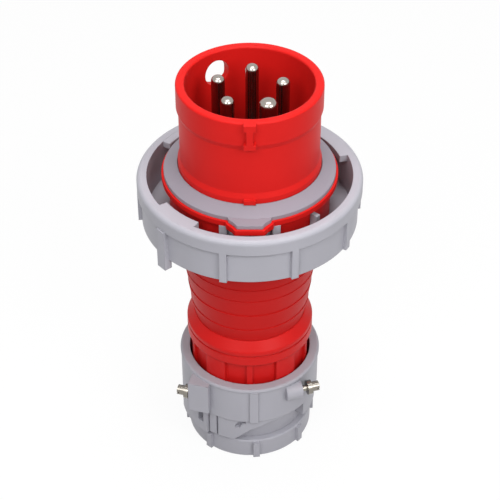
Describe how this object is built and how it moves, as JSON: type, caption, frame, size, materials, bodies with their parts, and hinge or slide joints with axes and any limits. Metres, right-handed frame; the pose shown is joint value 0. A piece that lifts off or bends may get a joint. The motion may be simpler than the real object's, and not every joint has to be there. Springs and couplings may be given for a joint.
{
  "type": "pin and sleeve plug",
  "caption": "Watertight round power plug: shrouded contact pins, turning bayonet ring, tapered handle, sealing gland and cable clamp.",
  "frame": {"origin": "centre of the cable nut's foot, which the plug stands on", "axes": "+Z along the plug's axis up to the pins, front (key and tongue) at -Y, +X to the right seen from the front"},
  "size_m": [0.1008, 0.1008, 0.1992],
  "materials": {
    "red_plastic": "fine satin moulded red plastic",
    "grey_plastic": "fine satin moulded grey plastic",
    "grey_gasket": "smooth grey elastomer",
    "dark_insulator": "dark moulded insulator",
    "nickel_contact": "nickel-plated turned contact, bright",
    "screw_steel": "zinc-plated steel screw",
    "dark_rubber": "dark sealing rubber"
  },
  "bodies": {
    "housing": {"pin_shroud": "red_plastic", "handle": "red_plastic", "gland_nut": "red_plastic", "ring_stop": "grey_plastic", "clamp_collar": "grey_plastic", "clamp_latch": "grey_plastic", "cable_nut": "grey_plastic", "cable_collet": "grey_plastic", "gland_washer": "grey_plastic", "face_gasket": "grey_gasket", "pin_carrier": "dark_insulator", "pin_retainer": "dark_insulator", "pin_line_1": "nickel_contact", "pin_line_2": "nickel_contact", "pin_line_3": "nickel_contact", "pin_neutral": "nickel_contact", "pin_earth": "nickel_contact", "terminal_screws": "screw_steel", "carrier_screws": "screw_steel", "clamp_screw_left": "screw_steel", "clamp_screw_right": "screw_steel", "clamp_nuts": "screw_steel", "body_seal": "dark_rubber", "gland_seal": "dark_rubber"},
    "coupling_ring": {"locking_ring": "grey_plastic"}
  },
  "joints": [
    {"name": "ring_turn", "type": "hinge", "parent": "housing", "child": "coupling_ring", "pos_m": [0, 0, 0.1305], "axis": [0, 0, 1], "range_deg": [-24, 0]}
  ]
}
